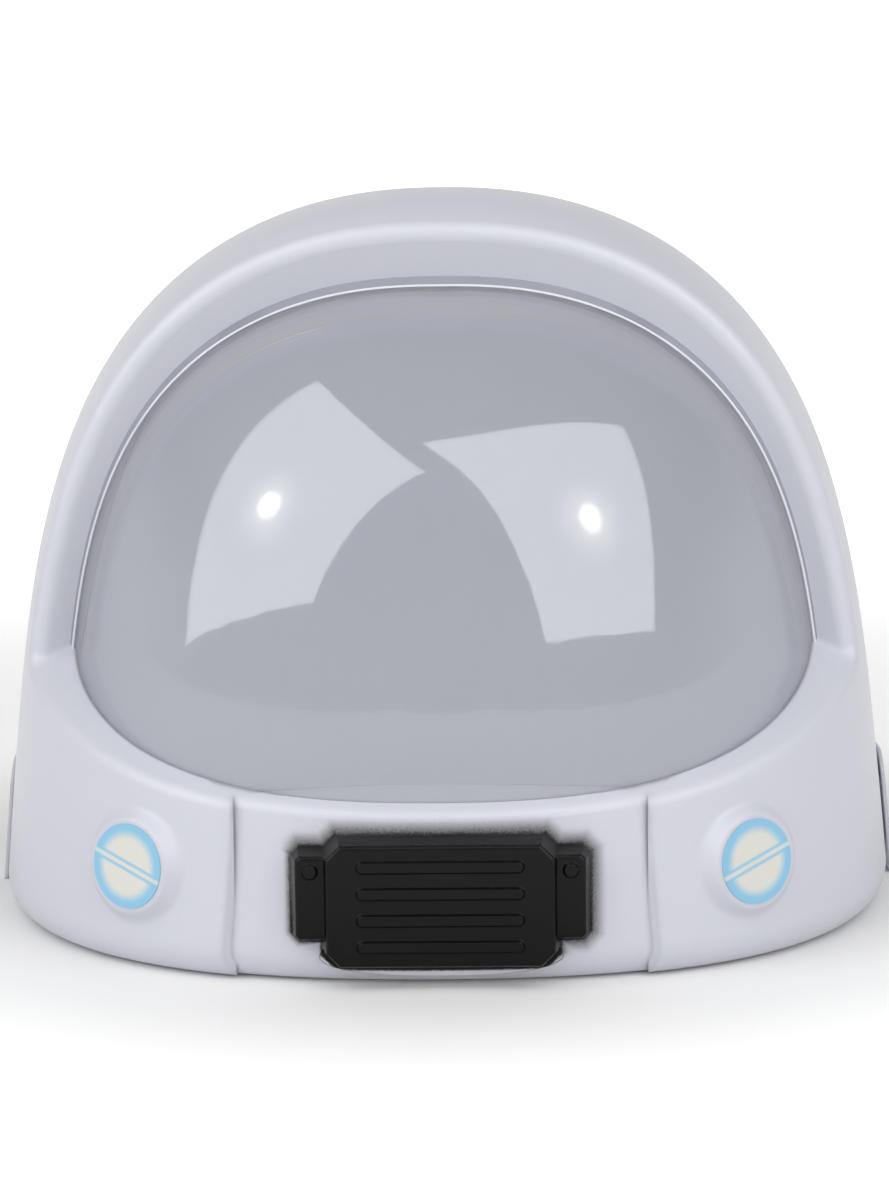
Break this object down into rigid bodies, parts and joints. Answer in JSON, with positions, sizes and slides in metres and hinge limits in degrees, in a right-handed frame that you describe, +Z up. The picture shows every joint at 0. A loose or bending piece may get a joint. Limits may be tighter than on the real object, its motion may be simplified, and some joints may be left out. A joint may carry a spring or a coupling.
{
  "type": "astronaut helmet",
  "caption": "White costume astronaut helmet: hooded collar, clear bubble visor, black moulded vent, round discs, and a rear shell that laps over the front and pulls off.",
  "frame": {"origin": "middle of the helmet's footprint, on the surface that the collar stands on", "axes": "+Z up to the crown, -Y the way the visor faces, +X to the right in the front view"},
  "size_m": [0.3004, 0.2757, 0.2324],
  "materials": {
    "shell_white": "gloss white vacuum-formed sheet",
    "visor_clear": "clear gloss formed sheet",
    "tape": "double-sided tape",
    "printed_disc": "printed film, cream centre and pale blue rim",
    "hook_fabric": "hook side of hook-and-loop patch",
    "loop_fabric": "loop side of hook-and-loop patch",
    "foam": "soft foam pad with knitted cover"
  },
  "bodies": {
    "front": {"front_shell": "shell_white", "visor": "visor_clear", "upper_visor_tape": "tape", "lower_visor_tape": "tape", "left_boss_decal": "printed_disc", "right_boss_decal": "printed_disc", "left_hook_patch": "hook_fabric", "right_hook_patch": "hook_fabric", "crown_hook_patch": "hook_fabric", "brow_pad": "foam", "crown_pad": "foam"},
    "rear": {"rear_shell": "shell_white", "left_loop_patch": "loop_fabric", "right_loop_patch": "loop_fabric", "crown_loop_patch": "loop_fabric"}
  },
  "joints": [
    {"name": "rear_pull_off", "type": "slide", "parent": "front", "child": "rear", "axis": [0, 1, 0], "range_m": [0, 0.12]}
  ]
}
